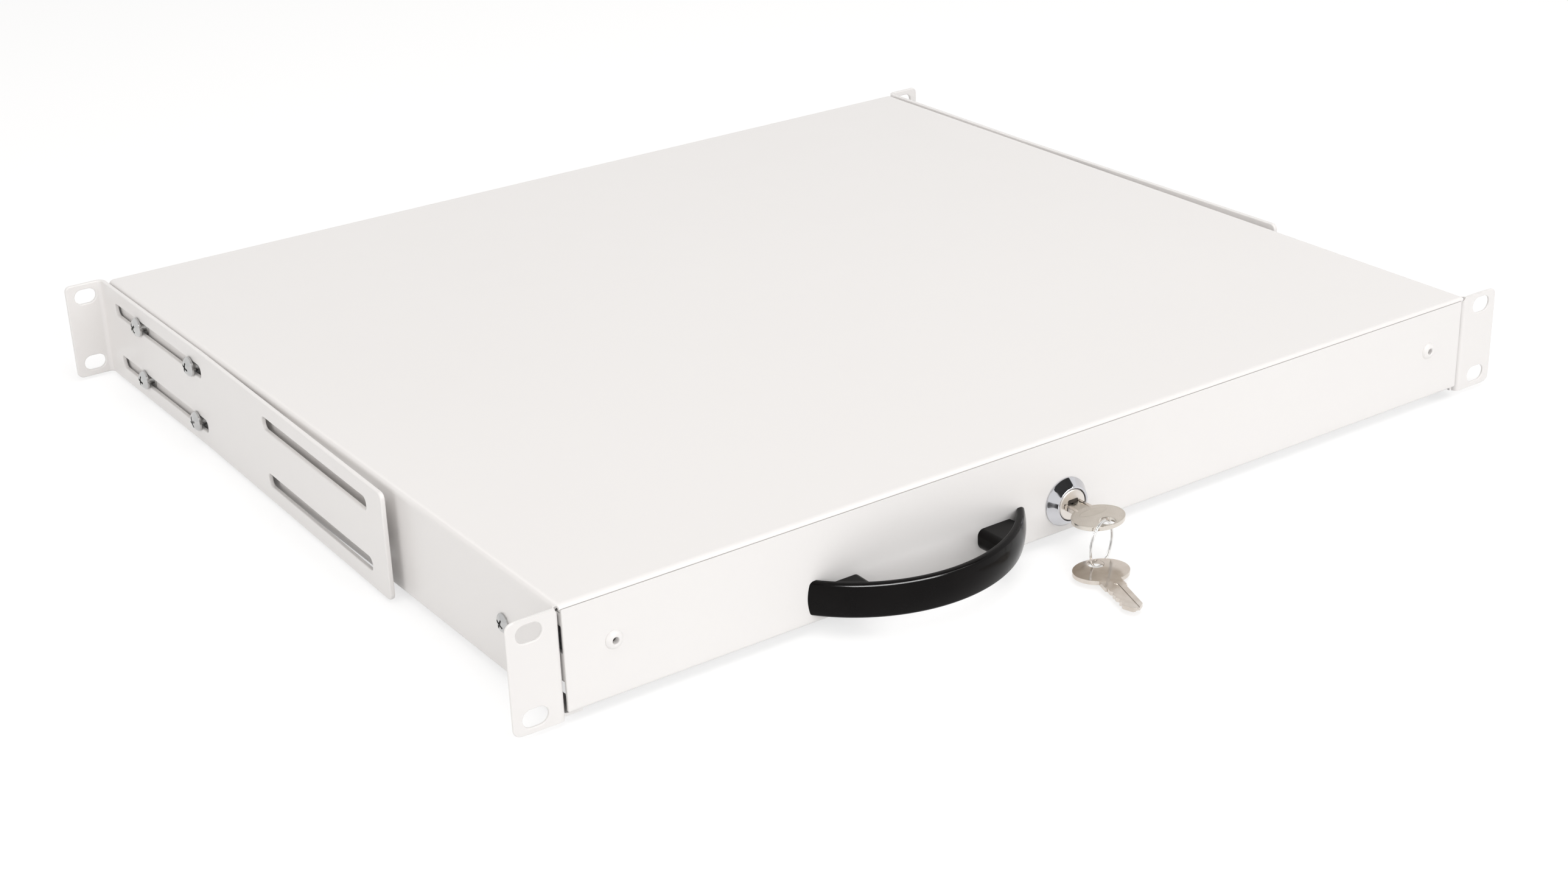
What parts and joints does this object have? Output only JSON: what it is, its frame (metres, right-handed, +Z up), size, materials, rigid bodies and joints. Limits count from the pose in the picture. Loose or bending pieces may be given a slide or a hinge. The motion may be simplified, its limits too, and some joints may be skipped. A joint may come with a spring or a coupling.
{
  "type": "sliding rack drawer",
  "caption": "Low sheet-steel rack drawer on ball slides, with a bow handle, a cam lock with keys and adjustable rear brackets.",
  "frame": {"origin": "centre of the four front rack slots, in the plane of the front ears' face, which is also the closed drawer's face", "axes": "+X to the right seen from the front, +Y into the rack, +Z up"},
  "size_m": [0.4826, 0.4641, 0.0448],
  "materials": {
    "painted_sheet": "light warm grey powder coat, fine texture, satin",
    "painted_panel": "light grey powder coat, fine texture, satin",
    "painted_bracket": "light grey powder coat, satin",
    "painted_tray": "light grey powder coat, satin",
    "zinc_sheet": "zinc plated sheet, satin",
    "zinc_fastener": "bright zinc plated, slightly worn",
    "slide_steel": "zinc plated rolled steel, light film of oil",
    "cage_steel": "rolled steel strip",
    "stop_plastic": "moulded black plastic, matt",
    "handle_plastic": "black moulded plastic, semi-gloss",
    "lock_chrome": "bright chrome plate",
    "lock_nickel": "nickel plated, turned face",
    "key_nickel": "nickel plated brass, rolled and stamped",
    "ring_nickel": "nickel plated spring wire"
  },
  "bodies": {
    "housing": {"housing": "painted_sheet", "lock_catch": "zinc_sheet", "rivet_nuts": "zinc_fastener", "bracket_screws": "zinc_fastener", "outer_slide_left": "slide_steel", "outer_slide_right": "slide_steel", "slide_stops": "stop_plastic", "slide_screws": "zinc_fastener", "slide_rivets": "zinc_fastener"},
    "bracket_left": {"rear_bracket_left": "painted_bracket"},
    "bracket_right": {"rear_bracket_right": "painted_bracket"},
    "outer_cages": {"outer_cage_left": "cage_steel", "outer_cage_right": "cage_steel"},
    "middle_members": {"middle_slide_left": "slide_steel", "middle_slide_right": "slide_steel"},
    "inner_cages": {"inner_cage_left": "cage_steel", "inner_cage_right": "cage_steel"},
    "drawer": {"front_panel": "painted_panel", "tray": "painted_tray", "panel_rivets": "painted_panel", "handle": "handle_plastic", "handle_screws": "zinc_fastener", "inner_slide_left": "slide_steel", "inner_slide_right": "slide_steel", "tray_screws": "zinc_fastener", "lock_barrel": "lock_chrome", "lock_nut": "zinc_fastener"},
    "lock_plug": {"lock_plug": "lock_nickel", "lock_cam": "zinc_sheet", "cam_screw": "zinc_fastener"},
    "key": {"key": "key_nickel"},
    "key_ring": {"key_ring": "ring_nickel"},
    "spare_key": {"spare_key": "key_nickel"}
  },
  "joints": [
    {"name": "drawer_slide", "type": "slide", "parent": "housing", "child": "drawer", "axis": [0, -1, 0], "range_m": [0, 0.25]},
    {"name": "middle_member_slide", "type": "slide", "parent": "housing", "child": "middle_members", "axis": [0, -1, 0], "range_m": [0, 0.125]},
    {"name": "outer_cage_slide", "type": "slide", "parent": "housing", "child": "outer_cages", "axis": [0, -1, 0], "range_m": [0, 0.0625]},
    {"name": "inner_cage_slide", "type": "slide", "parent": "middle_members", "child": "inner_cages", "axis": [0, -1, 0], "range_m": [0, 0.0625]},
    {"name": "bracket_left_slide", "type": "slide", "parent": "housing", "child": "bracket_left", "axis": [0, 1, 0], "range_m": [-0.025, 0.007]},
    {"name": "bracket_right_slide", "type": "slide", "parent": "housing", "child": "bracket_right", "axis": [0, 1, 0], "range_m": [-0.025, 0.007]},
    {"name": "lock_turn", "type": "hinge", "parent": "drawer", "child": "lock_plug", "pos_m": [-0.0004, 0, -0.0064], "axis": [0, 1, 0], "range_deg": [0, 90]},
    {"name": "key_slide", "type": "slide", "parent": "lock_plug", "child": "key", "axis": [0, -1, 0], "range_m": [0, 0.03]},
    {"name": "ring_swing", "type": "hinge", "parent": "key", "child": "key_ring", "pos_m": [-0.0004, -0.0236, -0.0064], "axis": [0.9292, 0.3697, 0], "range_deg": [-15, 15]},
    {"name": "spare_key_swing", "type": "hinge", "parent": "key_ring", "child": "spare_key", "pos_m": [-0.00886, -0.02696, -0.0204], "axis": [0.9292, 0.3697, 0], "range_deg": [-15, 15]}
  ],
  "couplings": [
    {"joint": "middle_member_slide", "follows": "drawer_slide", "ratio": 0.5},
    {"joint": "outer_cage_slide", "follows": "drawer_slide", "ratio": 0.25},
    {"joint": "inner_cage_slide", "follows": "drawer_slide", "ratio": 0.25}
  ]
}
